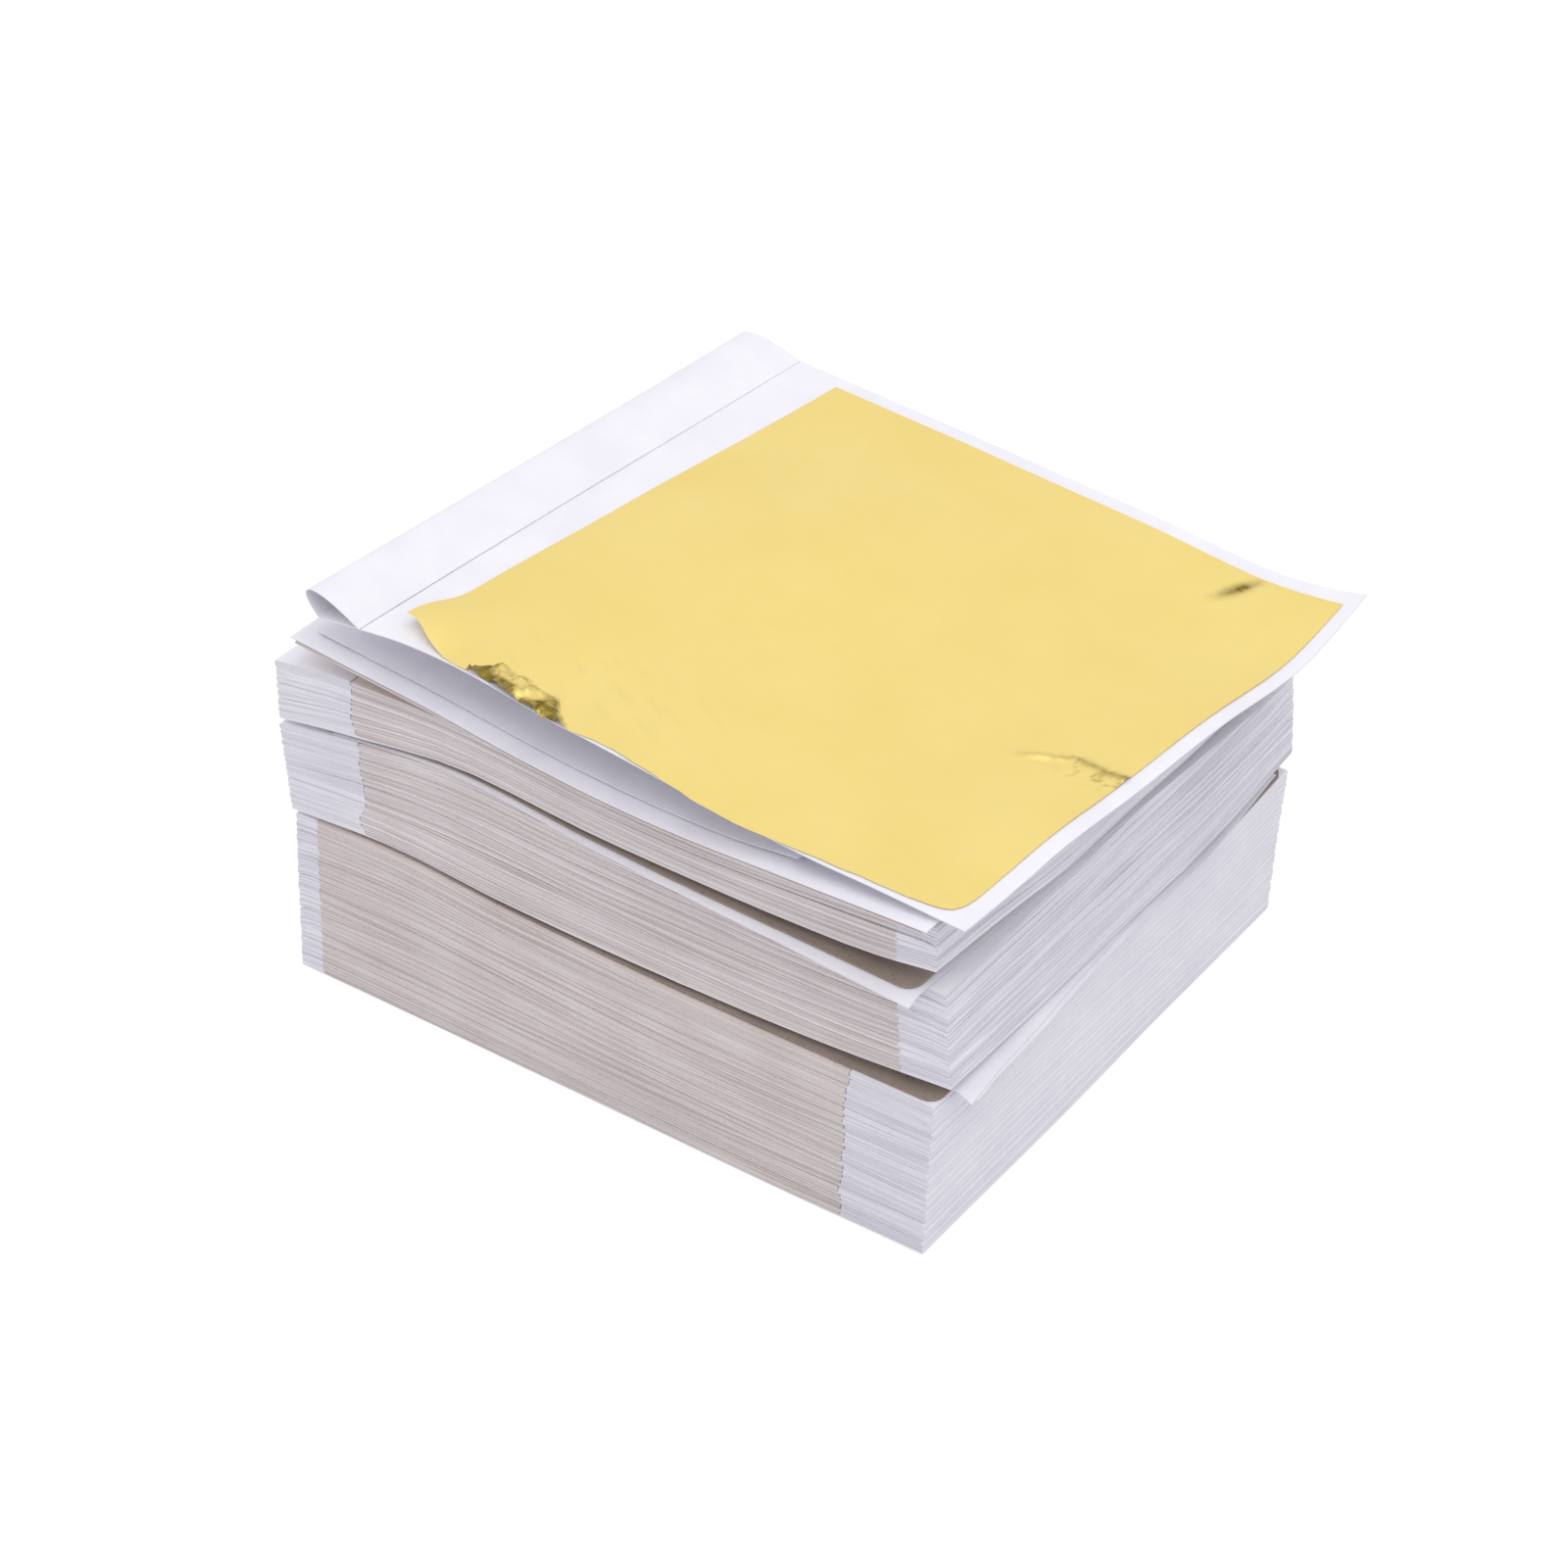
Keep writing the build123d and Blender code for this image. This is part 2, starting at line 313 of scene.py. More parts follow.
def surface(tree, shader):
    """Links a shader to the material's surface."""
    add_node(tree, "ShaderNodeOutputMaterial", {"Surface": shader.outputs[0]})


print("linear value of a mid grey:", round(linear("808080")[0], 3))

# %% [markdown]
# A pile of paper shows its layers as fine lines, which are the shade in the thin gaps between its
# sheets. Real sheets are thinner than the drawn ones, so the finish paints that shade as four lines to
# each sheet. They are a noise that is 30 mm long in the plan and follows the rank that each point
# keeps. They belong only on the cut edges, where the rank lies between two whole numbers. On the faces
# it is a whole number, and there the lines fade out.

# %% Layer lines
LINES_PER_SHEET = 4.0
LINE_LENGTH = 30
LINE_DETAIL = 3.0
LINE_ROUGHNESS = 0.6
EDGE_FADE = 0.06


def layer_lines(tree, points, seed):
    """Noise that is as fine as the layers through the sheets, and where the cut edges are."""
    rank = add_node(tree, "ShaderNodeAttribute", attribute_name="rank").outputs["Fac"]
    parts = add_node(tree, "ShaderNodeSeparateXYZ", {0: points})
    flat_x, flat_y = (
        work_out(tree, "MULTIPLY", parts.outputs[axis], 1 / LINE_LENGTH / MM) for axis in (0, 1)
    )
    fine = work_out(tree, "MULTIPLY", rank, LINES_PER_SHEET)
    moved = work_out(tree, "ADD", fine, seed)
    place = add_node(tree, "ShaderNodeCombineXYZ", {0: flat_x, 1: flat_y, 2: moved}).outputs[0]
    lines = add_node(
        tree,
        "ShaderNodeTexNoise",
        {"Vector": place, "Scale": 1.0, "Detail": LINE_DETAIL, "Roughness": LINE_ROUGHNESS},
    )
    from_face = work_out(tree, "PINGPONG", rank, 0.5)
    return lines.outputs[0], ranged(tree, from_face, 0.0, EDGE_FADE)


print("lines per sheet:", LINES_PER_SHEET)

# %% [markdown]
# All the papers here are one recipe with other colours. Slow clouds of 9 mm blend a light and a shaded
# tone, fibres of 0.5 mm leave specks and a fine grain, and the layer lines paint the shade of the gaps
# between sheets onto the cut edges as darker lines and stand up a little in the bump.

# %% Recipe for paper
CLOUD_SIZE = 9
FIBRE_SIZE = 0.5
# Strength of the painted shade that the layer lines give the cut edges.
LINE_SHADE_SHARE = 0.75
GRAIN_DEPTH = 0.02 * MM
RIDGE_DEPTH = 0.05 * MM


def paper(name, light, shade, line, speck, speck_share, roughness, seed):
    """Paper with clouds from light to shade, layer lines of painted gap shade on its edges and specks
    in its face.
    """
    material, tree = new_material(name)
    points = add_node(tree, "ShaderNodeTexCoord").outputs["Object"]
    clouds = real_noise(tree, points, CLOUD_SIZE, 4.0, 0.55)
    fibres = real_noise(tree, points, FIBRE_SIZE, 3.0, 0.7)
    lines, on_edge = layer_lines(tree, points, seed)
    ground = blend(tree, ranged(tree, clouds, 0.35, 0.65), linear(light), linear(shade))
    # The cut edges darken towards the line colour: painted shade of the gaps between sheets.
    gap_shade_share = work_out(tree, "MULTIPLY", ranged(tree, lines, 0.56, 0.40, 0.0, LINE_SHADE_SHARE), on_edge)
    with_gap_shade = blend(tree, gap_shade_share, ground, linear(line))
    specked = blend(tree, ranged(tree, fibres, 0.60, 0.72, 0.0, speck_share), with_gap_shade, linear(speck))
    grain = relief(tree, fibres, 0.25, GRAIN_DEPTH)
    stripes = relief(tree, lines, 0.5, RIDGE_DEPTH, Normal=grain)
    finish = {"Base Color": specked, "Roughness": roughness, "Specular IOR Level": 0.3}
    shader = add_node(tree, "ShaderNodeBsdfPrincipled", {**finish, "Normal": stripes})
    surface(tree, shader)
    return material


print("clouds and fibres in mm:", CLOUD_SIZE, FIBRE_SIZE)

# %% [markdown]
# Glassine-like tissue is made from long fibres beaten very fine and calendered between rollers, so
# it is smooth and cool white with a faint cloudiness.

# %% Tissue paper
# The tissue's line colour is painted shade for the gaps between sheets.
tissue_paper = paper(
    "white glassine tissue",
    light="F6F5FA", shade="F0EEF5", line="C6C2CE", speck="E6E3EC",
    speck_share=0.35, roughness=0.62, seed=0.0,
)
print("material:", tissue_paper.name)

# %% [markdown]
# The backing sheets are a soft grey-brown board paper made from recycled pulp, uncoated and matt, with
# darker specks. The cut edges of a pile look much paler than a face, because light gets between the
# fibres there, so the piles have a pale finish. The two stray backing sheets show their faces, which
# also lie in the shade between the bundles, and they have a darker copy of the paper with that shade
# painted into its colour.

# %% Recycled backing paper
# The line colour of the pale finish is painted shade for the gaps between sheets.
backing_paper = paper(
    "recycled grey-brown backing paper",
    light="E9DFDC", shade="E1D6D2", line="B9ACA5", speck="AC9D92",
    speck_share=0.45, roughness=0.9, seed=3.7,
)
# Copy of the backing paper with painted shade: darker overall, for the stray sheets that lie in the
# shade between the bundles, and with its line colour as painted gap shade too.
shaded_backing_paper = paper(
    "dark recycled backing paper",
    light="A6978C", shade="998A7F", line="8A7B71", speck="5F5147",
    speck_share=0.8, roughness=0.95, seed=9.1,
)
print("materials:", backing_paper.name, "and", shaded_backing_paper.name)

# %% [markdown]
# Imitation leaf is beaten brass, a few thousandths of a millimetre thick. It keeps a satin shine with
# no grain of its own, and takes up every unevenness of what it lies on, as slow hills of 14 mm and fine
# wrinkles of 1.6 mm. The shine of the slow hills is painted into the colour, as patches of deeper and
# paler gold, and the wrinkles go in the bump. The large creases and the crumpled edge are real geometry
# further down. The crease attribute tells where folds lie deep, and there the wrinkles break up a
# painted shade, a dark tone that stands for the shade and dark reflections between the folds.

# %% Beaten brass leaf
SHEEN_PATCH_SIZE = 14
WRINKLE_SIZE = 1.6
WRINKLE_DEPTH = 0.05 * MM
gold_leaf, gold_tree = new_material("beaten brass leaf")
gold_points = add_node(gold_tree, "ShaderNodeTexCoord").outputs["Object"]
# Painted sheen: patches of 14 mm that go from a deeper to a paler gold stand for the shine of slow
# hills.
gold_painted_sheen = real_noise(gold_tree, gold_points, SHEEN_PATCH_SIZE, 2.0)
gold_wrinkles = real_noise(gold_tree, gold_points, WRINKLE_SIZE, 5.0, 0.6, 0.6)
gold_with_sheen = blend(gold_tree, gold_painted_sheen, linear("F0D881"), linear("F6E193"))
# Painted shade in the folds: where the crease attribute is high, the wrinkles blend in the dark tone
# 6E5A14, which stands for the shade and dark reflections between folds.
gold_fold_shade = add_node(gold_tree, "ShaderNodeAttribute", attribute_name="crease").outputs["Fac"]
gold_painted_fold_shade = work_out(gold_tree, "MULTIPLY", gold_fold_shade, gold_wrinkles)
gold_fold_shade_share = ranged(gold_tree, gold_painted_fold_shade, 0.0, 0.5, 0.0, 0.9)
gold_bump = relief(gold_tree, gold_wrinkles, 0.35, WRINKLE_DEPTH)
gold_shader = add_node(
    gold_tree,
    "ShaderNodeBsdfPrincipled",
    {
        "Base Color": blend(gold_tree, gold_fold_shade_share, gold_with_sheen, linear("6E5A14")),
        "Metallic": 1.0,
        "Roughness": ranged(gold_tree, gold_wrinkles, 0.3, 0.7, 0.38, 0.52),
        "Normal": gold_bump,
    },
)
surface(gold_tree, gold_shader)
print("material:", gold_leaf.name)

# %% [markdown]
# The bundles sag and swell, because each holds folded flaps at one end only and stray sheets lie
# between them. Six surfaces set this out: the top and base of each bundle. A surface has one curve
# along its front edge, one along its back edge, and a third, from front to back, that lets the
# right-hand end sag.

# %% Surfaces of the bundles
SAG_START = 5
SAG_FULL = 48


def sagging(front, back, right):
    """Surface that runs from a front curve to a back curve, with a sag at the right-hand end."""

    def height_at(x, y):
        depth = (y + HALF_WIDTH) / FOLIO_WIDTH
        return mix(front(x), back(x), smooth(depth)) + between(SAG_START, SAG_FULL, x) * right(y)

    return height_at


flat = curve((-50, 0), (50, 0))
table_top = sagging(flat, flat, flat)
bottom_top = sagging(
    curve((-50, 25.8), (-33, 26.3), (-17, 25.1), (0, 24.5), (20, 24.3), (50, 24.6)),
    curve((-50, 24.6), (0, 24.3), (50, 24.4)),
    curve((-42, 0), (-22, -0.1), (-2, -0.5), (21, -1.9), (42, -0.4)),
)
middle_base = sagging(
    curve((-50, 26.3), (-33, 27.2), (-17, 26.0), (0, 25.5), (20, 25.5), (35, 26.0), (50, 27.1)),
    curve((-50, 25.6), (0, 25.4), (50, 25.8)),
    curve((-42, 0), (-22, -0.9), (-2, -1.2), (21, -1.4), (42, 0)),
)
middle_top = sagging(
    curve((-50, 39.6), (-40, 41.2), (-22, 43.3), (-1, 42.1), (20, 41.6), (40, 41.4), (50, 41.3)),
    curve((-50, 39.8), (0, 40.2), (50, 39.9)),
    flat,
)
top_base = sagging(
    curve(
        (-50, 40.3), (-40, 42.1), (-22, 44.5), (-1, 43.4),
        (20, 43.2), (35, 43.6), (42, 44.2), (50, 45.5),
    ),
    curve((-50, 42.2), (0, 42.8), (50, 42.2)),
    curve((-42, 0), (-25, -1.0), (-12, -1.8), (0, -1.5), (17, -1.1), (27, -0.6), (42, 0)),
)
top_top = sagging(
    curve(
        (-50, 49.4), (-41, 50.8), (-25, 51.3), (-12, 50.5),
        (0, 49.9), (15, 50.0), (30, 50.8), (50, 52.1),
    ),
    curve((-50, 50.2), (0, 50.4), (50, 50.6)),
    flat,
)
print("top of the bundles at the near corner:", round(top_top(49, -42), 1))

# %% [markdown]
# Each bundle has a base and a top, a count of folios and a seed for its noise. Its side is +1 or
# -1, for the end where the creases lie. The backing sheets stop short of the open end by some
# millimetres, so that plain tissue shows there. The veil is the share of a folio's room that the
# tissue under the backing sheet takes, so that it shows between the brown edges. The creases of
# the two upper bundles bulge out. Shift and turn set a whole bundle out of line, and lean sets its
# folios over to one side as they rise.

# %% The three bundles
bottom_bundle = SimpleNamespace(
    name="bottom_bundle", count=24, seed=1.7, side=1, base=table_top, top=bottom_top,
    short=1.0, veil=0.12, bulge=0.0,
    shift=0.0, turn=0.0, lean=curve((0, -1.0), (0.5, -0.5), (1, 0.2)),
)
middle_bundle = SimpleNamespace(
    name="middle_bundle", count=16, seed=14.2, side=-1, base=middle_base, top=middle_top,
    short=4.5, veil=0.22, bulge=2.0,
    shift=0.6, turn=radians(1.0), lean=curve((0, 0.6), (0.5, 0.2), (1, -0.4)),
)
top_bundle = SimpleNamespace(
    name="top_bundle", count=8, seed=25.9, side=-1, base=top_base, top=top_top,
    short=3.0, veil=0.26, bulge=1.5,
    shift=0.0, turn=0.0, lean=curve((0, -0.2), (1, 0.1)),
)
bundles = (bottom_bundle, middle_bundle, top_bundle)
print("folios in the bundles:", [bundle.count for bundle in bundles])

# %% [markdown]
# Inside a bundle the folios share out the room between its base and its top. A slow noise moves
# each level up and down, so that some folios stand open and others press together, but the levels
# never cross. Each folio also slips sideways by a hair, to the side that its solid slips to, turns
# a little and has slightly wavy ends, so that the sides of a bundle look ragged.

# %% Levels and slips inside a bundle
SWAY = 0.8
SWAY_SIZE = 38
TIGHT_AIR = 0.015
LOOSE_AIR = 0.10
LEAST_AIR = 0.005
LOOSE_STEP = 0.618
LOOSE_FROM = 0.68
AIR_SIZE = 24
SLIP = 0.05
SLIP_STEP = 137.5
FOLIO_TURN = 0.06
WAVE = 0.30
FRINGE = 0.05
BULGE_REACH = 60


def folio_level(bundle, rank, x, y):
    """Height in a bundle at a rank, counted in folios from its base."""
    room = max(min(rank, bundle.count - rank, 1), 0)
    sway = SWAY * room * wobble(x, y, SWAY_SIZE, bundle.seed + 0.45 * rank)
    return mix(bundle.base(x, y), bundle.top(x, y), (rank + sway) / bundle.count)


def folio_rank(bundle, number, share, x, y):
    """Rank of a share of one folio's room, above the air that is under it."""
    loose = 1 if (number * LOOSE_STEP + bundle.seed) % 1 > LOOSE_FROM else 0
    uneven = 1 + 1.5 * wobble(x, y, AIR_SIZE, bundle.seed + 7.3 * number)
    air = mix(TIGHT_AIR, LOOSE_AIR, loose) * uneven
    return number + max(air, LEAST_AIR) * (1 - share) + share


def along_folio(bundle, from_crease, y):
    """Place along the stack of a point at a distance from the crease, where the folds bulge out
    towards the front."""
    bulge = bundle.bulge * max(1 - from_crease / BULGE_REACH, 0) * between(30, -20, y)
    return bundle.side * (HALF_LENGTH + bulge - from_crease)


def plan_place(bundle, number, x, y):
    """Place in the plan of a point of one folio, slipped and turned out of line."""
    slip = radians(SLIP_STEP * number)
    turn = bundle.turn + radians(FOLIO_TURN) * sin(2.3 * number + bundle.seed)
    ragged = FRINGE * wobble(x, 9 * number, 13, bundle.seed)
    ragged += WAVE * wobble(x, 2 * number, 60, bundle.seed)
    across = x + SLIP * sin(slip) + bundle.lean(number / bundle.count)
    across += WAVE * wobble(y, 2 * number, 40, bundle.seed + 5)
    back = y + bundle.shift + SLIP * cos(slip) + ragged
    return turned(across, back, turn)


print("height in the middle bundle at rank 5:", round(folio_level(middle_bundle, 5, 0, 0), 1))

# %% [markdown]
# A folded tissue is one ribbon. It starts at its open end, runs along under the backing sheet to
# the crease, goes round the crease in a soft half circle and comes back as the flap. Its columns
# follow that path, closer together near the ends and at the flap's edge, where the shape changes.
# Flaps differ a little in length, by a slow noise up the bundle and a small quick change.

# %% Columns of a folded tissue
BEND = 0.3
END_STEP = 0.05
near_crease = [BEND, 1.8, 4.0, 6.5, 9.0, 11.2, FLAP_LENGTH, 12.6, 12.9, 15.5]
long_run = [20.0 + 5.5 * step for step in range(13)]
bend_columns = 6
flap_places = near_crease[1:7]


def flap_slide(bundle, number):
    """How much longer than the others the flap of one folio is."""
    return 1.3 * wobble(0, 0, 1, bundle.seed + 0.17 * number) + 0.15 * sin(5.1 * number)


def backing_end(bundle):
    """Distance from the crease to the far end of the backing sheets."""
    return FLAP_LENGTH + FLAP_GAP + LEAF_LENGTH - bundle.short


def run_places(bundle):
    """Distances from the crease of the long run's columns, from the open end back."""
    end = backing_end(bundle)
    near_end = [end - 3.0, end - 0.25, end + END_STEP]
    past_end = [mix(end, FOLIO_LENGTH, share) for share in (0.35, 0.7, 1.0)]
    return (near_crease + long_run + near_end + past_end)[::-1]


tissue_columns = len(run_places(bottom_bundle)) - 1 + bend_columns + len(flap_places)
tissue_rows = 26
print("columns of a folded tissue:", tissue_columns)

# %% [markdown]
# A tissue takes these shares of its folio's room. At the flap its two layers meet halfway, under
# the backing sheet only the lower layer is left and takes the bundle's veil, and past the backing
# sheet it fills nearly all of the room. At the open end each sheet droops over the edge of the one
# below, as thin paper does. The half circle at the crease joins the two layers.

# %% Folded tissues
LOWER_TOP = 0.49
UPPER_BASE = 0.51
UPPER_TOP = 0.99
BARE_TOP = 0.97
DROOP = 0.25
DROOP_REACH = 3.0
INNER_BEND = 0.35
FOLDER_RANKS = 3


def tissue_place(bundle, number):
    """Place function of one folded tissue."""
    slide = flap_slide(bundle, number)
    run = run_places(bundle)
    end = backing_end(bundle)

    def level(share, x, y):
        """Height of a share of this folio's room."""
        return folio_level(bundle, folio_rank(bundle, number, share, x, y), x, y)

    def bend_place(bending, y, through):
        """Point on the half circle round the crease."""
        x, y = plan_place(bundle, number, along_folio(bundle, BEND, y), y)
        low = mix(level(0, x, y), level(LOWER_TOP, x, y), through)
        high = mix(level(UPPER_TOP, x, y), level(UPPER_BASE, x, y), through)
        angle = pi * (bending / bend_columns - 0.5)
        reach = BEND * mix(1.0, INNER_BEND, through) * max(cos(angle), 0) ** 0.6
        return x + bundle.side * reach, y, mix(low, high, (sin(angle) + 1) / 2)

    def place(column, across, through):
        y = (spread(across) - 0.5) * FOLIO_WIDTH
        bending = column - (len(run) - 1)
        if 0 < bending < bend_columns:
            return bend_place(bending, y, through)
        if bending <= 0:
            from_crease = run[column]
            past_flap = between(FLAP_LENGTH - 0.1, FLAP_LENGTH + 0.5, from_crease)
            filled = mix(LOWER_TOP, bundle.veil, past_flap)
            from_crease += slide * between(2, 9, from_crease) * between(20, 15, from_crease)
            past_backing = between(end - 0.25, end + END_STEP, from_crease)
            share = mix(filled, BARE_TOP, past_backing) * through
            hang = max(1 - (FOLIO_LENGTH - from_crease) / DROOP_REACH, 0) ** 2
            uneven = 1 + 1.5 * wobble(y, 5 * number, 12, bundle.seed)
            droop = DROOP * hang * min(number + 0.3, 1) * uneven
        else:
            on_flap = bending - bend_columns
            from_crease = flap_places[on_flap - 1] if on_flap else BEND
            from_crease += slide * between(2, 9, from_crease)
            share = mix(UPPER_TOP, UPPER_BASE, through)
            droop = 0
        x, y = plan_place(bundle, number, along_folio(bundle, from_crease, y), y)
        rank = folio_rank(bundle, number, share, x, y) - droop
        return x, y, folio_level(bundle, rank, x, y)

    return place


def finish_sheets(bundle, kind, sheets, material, solids):
    """Finishes one kind of sheet of a bundle, for the solids of that kind."""
    node = f"{bundle.name}_{solids}"
    finish_piece(f"{bundle.name}.{kind}", sheets, material, node, bundle.name)


for bundle in bundles:
    folders = new_piece()
    for number in range(bundle.count):
        place = tissue_place(bundle, number)
        add_slab(folders, tissue_columns, tissue_rows, place, FOLDER_RANKS * number)
    finish_sheets(bundle, "folded_tissues", folders, tissue_paper, "tissue_folders")

# %% [markdown]
# The backing sheets and the leaves are flat sheets that lie in the folios, from the flap's edge
# nearly to the open end. They differ a little in length and place, so the boundary between the
# brown pile and the white flaps is uneven. Each leaf lies a little to the front or the back, and
# one in seven has slid nearly to the front edge.

# %% Backing sheets and leaves in the bundles
ABOVE_VEIL = 0.01
BACKING_TOP = 0.95
LEAF_ROOM = (0.955, 0.985)
SLID_LEAF = -1.7
SLID_EVERY = 7
FIRST_SLID = 3
SHEET_RANKS = 2
backing_grid = (26, 24)
leaf_grid = (20, 18)


def inside_place(bundle, number, columns, low, high, width, shift_y):
    """Place function of a flat sheet in a folio, from low to high of the folio's room."""
    slide = flap_slide(bundle, number)
    start = FLAP_LENGTH + FLAP_GAP + slide
    length = LEAF_LENGTH - slide - bundle.short

    def place(column, across, through):
        from_crease = start + spread(column / columns) * length
        y = (spread(across) - 0.5) * width + shift_y
        x, y = plan_place(bundle, number, along_folio(bundle, from_crease, y), y)
        rank = folio_rank(bundle, number, mix(low, high, through), x, y)
        return x, y, folio_level(bundle, rank, x, y)

    return place


for bundle in bundles:
    backings = new_piece()
    leaves = new_piece()
    backing_base = bundle.veil + ABOVE_VEIL
    for number in range(bundle.count):
        slid = number % SLID_EVERY == FIRST_SLID
        forward = SLID_LEAF if slid else 0.8 * sin(3.7 * number)
        rank = SHEET_RANKS * number
        place = inside_place(
            bundle, number, backing_grid[0], backing_base, BACKING_TOP, FOLIO_WIDTH, 0
        )
        add_slab(backings, *backing_grid, place, rank)
        place = inside_place(bundle, number, leaf_grid[0], *LEAF_ROOM, LEAF_WIDTH, forward)
        add_slab(leaves, *leaf_grid, place, rank)
    finish_sheets(bundle, "backing_sheets", backings, backing_paper, "backing_sheets")
    finish_sheets(bundle, "gold_leaves", leaves, gold_leaf, "gold_leaves")

# %% [markdown]
# Stray sheets lie between the bundles: a brown backing sheet, a tissue pushed out at the end with
# a narrow slip on it, and above the middle bundle a tissue pushed out at the front with a backing
# sheet on it. They are thin and bend over the edge that they are pushed out past, by more the
# further they reach. Four of the five lie turned by one to four degrees, so that they stand out
# mostly near the near corner.

# %% Beds of the stray sheets
END_HANG = 0.12
FRONT_HANG = 0.09
BED_WAVE = 0.08


def lower_bed(x, y):
    """Surface of the bottom bundle and what hangs over its right-hand end."""
    hang = END_HANG * max(x - HALF_LENGTH, 0) ** 2 * (1 + 0.6 * wobble(x, y, 9, 3.1))
    return bottom_top(x, y) - hang + BED_WAVE * wobble(x, y, 16, 8.8)


def upper_bed(x, y):
    """Surface of the middle bundle and what hangs over its front."""
    hang = FRONT_HANG * max(-HALF_WIDTH - y, 0) ** 2 * (1 + 0.5 * wobble(x, y, 12, 6.4))
    return middle_top(x, y) - hang + BED_WAVE * wobble(x, y, 16, 2.9)


print("how far a sheet hangs 3 mm out:", END_HANG * 3**2)

# %% [markdown]
# One function places any stray sheet from its middle, its size, its turn and the heights of its
# two faces over its bed. The backing sheets have rounded corners, which are made by drawing the
# points near them inwards, so that the grid stays whole.

# %% Stray sheets between the bundles
stray_grid = (60, 56)
BACKING_CORNER = 2.0


def stray_place(centre, length, width, turn, bed, low, high, corner):
    """Place function of a loose sheet that lies on a surface, with its corners rounded off."""

    def place(column, across, through):
        x = (spread(column / stray_grid[0]) - 0.5) * length
        y = (spread(across) - 0.5) * width
        if corner:
            over_x = max(abs(x) - (length / 2 - corner), 0) / corner
            over_y = max(abs(y) - (width / 2 - corner), 0) / corner
            x -= (1 if x > 0 else -1) * corner * over_x * (1 - (1 - over_y**2 / 2) ** 0.5)
            y -= (1 if y > 0 else -1) * corner * over_y * (1 - (1 - over_x**2 / 2) ** 0.5)
        turned_x, turned_y = turned(x, y, turn)
        there = (centre[0] + turned_x, centre[1] + turned_y)
        return *there, bed(*there) + mix(low, high, through)

    return place


def add_stray(name, material, body, centre, length, width, turn, bed, low, high, corner=0):
    """Stray sheet, turned by degrees, on its bed."""
    stray = new_piece()
    place = stray_place(centre, length, width, radians(turn), bed, low, high, corner)
    add_slab(stray, *stray_grid, place)
    finish_piece(name + ".sheet", stray, material, name, body)


# The two stray backing sheets take the copy of the backing paper with painted shade.
add_stray(
    "lower_loose_backing_sheet", shaded_backing_paper, "lower_loose_sheets",
    centre=(3.5, 0), length=92.0, width=83.0, turn=0.0,
    bed=lower_bed, low=0.08, high=0.36, corner=BACKING_CORNER,
)
add_stray(
    "lower_loose_tissue", tissue_paper, "lower_loose_sheets",
    centre=(4.0, -0.8), length=94.0, width=77.0, turn=2.6,
    bed=lower_bed, low=0.46, high=0.58,
)
add_stray(
    "lower_loose_slip", tissue_paper, "lower_loose_sheets",
    centre=(29.8, -9.7), length=42.0, width=60.0, turn=3.5,
    bed=lower_bed, low=0.66, high=0.78,
)
add_stray(
    "upper_loose_tissue", tissue_paper, "upper_loose_sheets",
    centre=(3.9, -1.6), length=90.0, width=83.0, turn=-2.0,
    bed=upper_bed, low=0.15, high=0.27,
)
add_stray(
    "upper_loose_backing_sheet", shaded_backing_paper, "upper_loose_sheets",
    centre=(1.6, -0.5), length=92.0, width=83.0, turn=-1.1,
    bed=upper_bed, low=0.36, high=0.64, corner=BACKING_CORNER,
)

# %% [markdown]
# The second folio lies opened out on the top bundle: its backing sheet, its leaf, and the tissue
# that covers them. Both its ends lift, so it has a bed of its own, with one curve for its front
# edge and one for its back edge. A narrower cover slip lies on it, and lifts off it a little at
# its near corner.

# %% Second folio and cover slip
SECOND_CENTRE = (2.2, -1.8)
SECOND_TURN = radians(-1.5)
COVER_LIFT = 0.7
opened_grid = (60, 50)
second_front = curve(
    (-48, 53.8), (-40, 53.3), (-27, 52.5), (-13, 51.2), (0, 50.5), (13, 50.6), (27, 51.5), (49, 53.0)
)
second_back = curve((-48, 53.2), (-25, 51.9), (0, 51.3), (25, 51.4), (49, 51.7))


def second_bed(x, y):
    """Surface under the second folio, in its own plan."""
    return mix(second_front(x), second_back(x), smooth((y + HALF_WIDTH) / FOLIO_WIDTH))


def opened_place(length, width, centre_x, low, high, lift):
    """Place function of an opened sheet on the second folio's bed, turned on the stack."""

    def place(column, across, through):
        x = centre_x + (spread(column / opened_grid[0]) - 0.5) * length
        y = (spread(across) - 0.5) * width
        lifted = lift * between(18, 30, x) * between(-28, -39, y)
        turned_x, turned_y = turned(x, y, SECOND_TURN)
        z = second_bed(x, y) + mix(low, high, through) + lifted
        return SECOND_CENTRE[0] + turned_x, SECOND_CENTRE[1] + turned_y, z

    return place


def add_opened(name, material, body, length, width, low, high, centre_x=0, lift=0):
    """Opened sheet of the second folio, or the slip on it."""
    opened = new_piece()
    add_slab(opened, *opened_grid, opened_place(length, width, centre_x, low, high, lift))
    finish_piece(name + ".sheet", opened, material, name, body)


add_opened(
    "second_folio_backing_sheet", backing_paper, "second_folio",
    length=96.0, width=FOLIO_WIDTH, low=0.0, high=0.28,
)
add_opened(
    "second_folio_gold_leaf", gold_leaf, "second_folio",
    length=LEAF_LENGTH, width=LEAF_WIDTH, low=0.36, high=0.42,
)
add_opened(
    "second_folio_tissue", tissue_paper, "second_folio",
    length=97.5, width=FOLIO_WIDTH, low=0.50, high=0.62,
)
add_opened(
    "cover_slip", tissue_paper, "cover_slip",
    length=75.0, width=78.6, low=0.92, high=1.04, centre_x=-9.0, lift=COVER_LIFT,
)

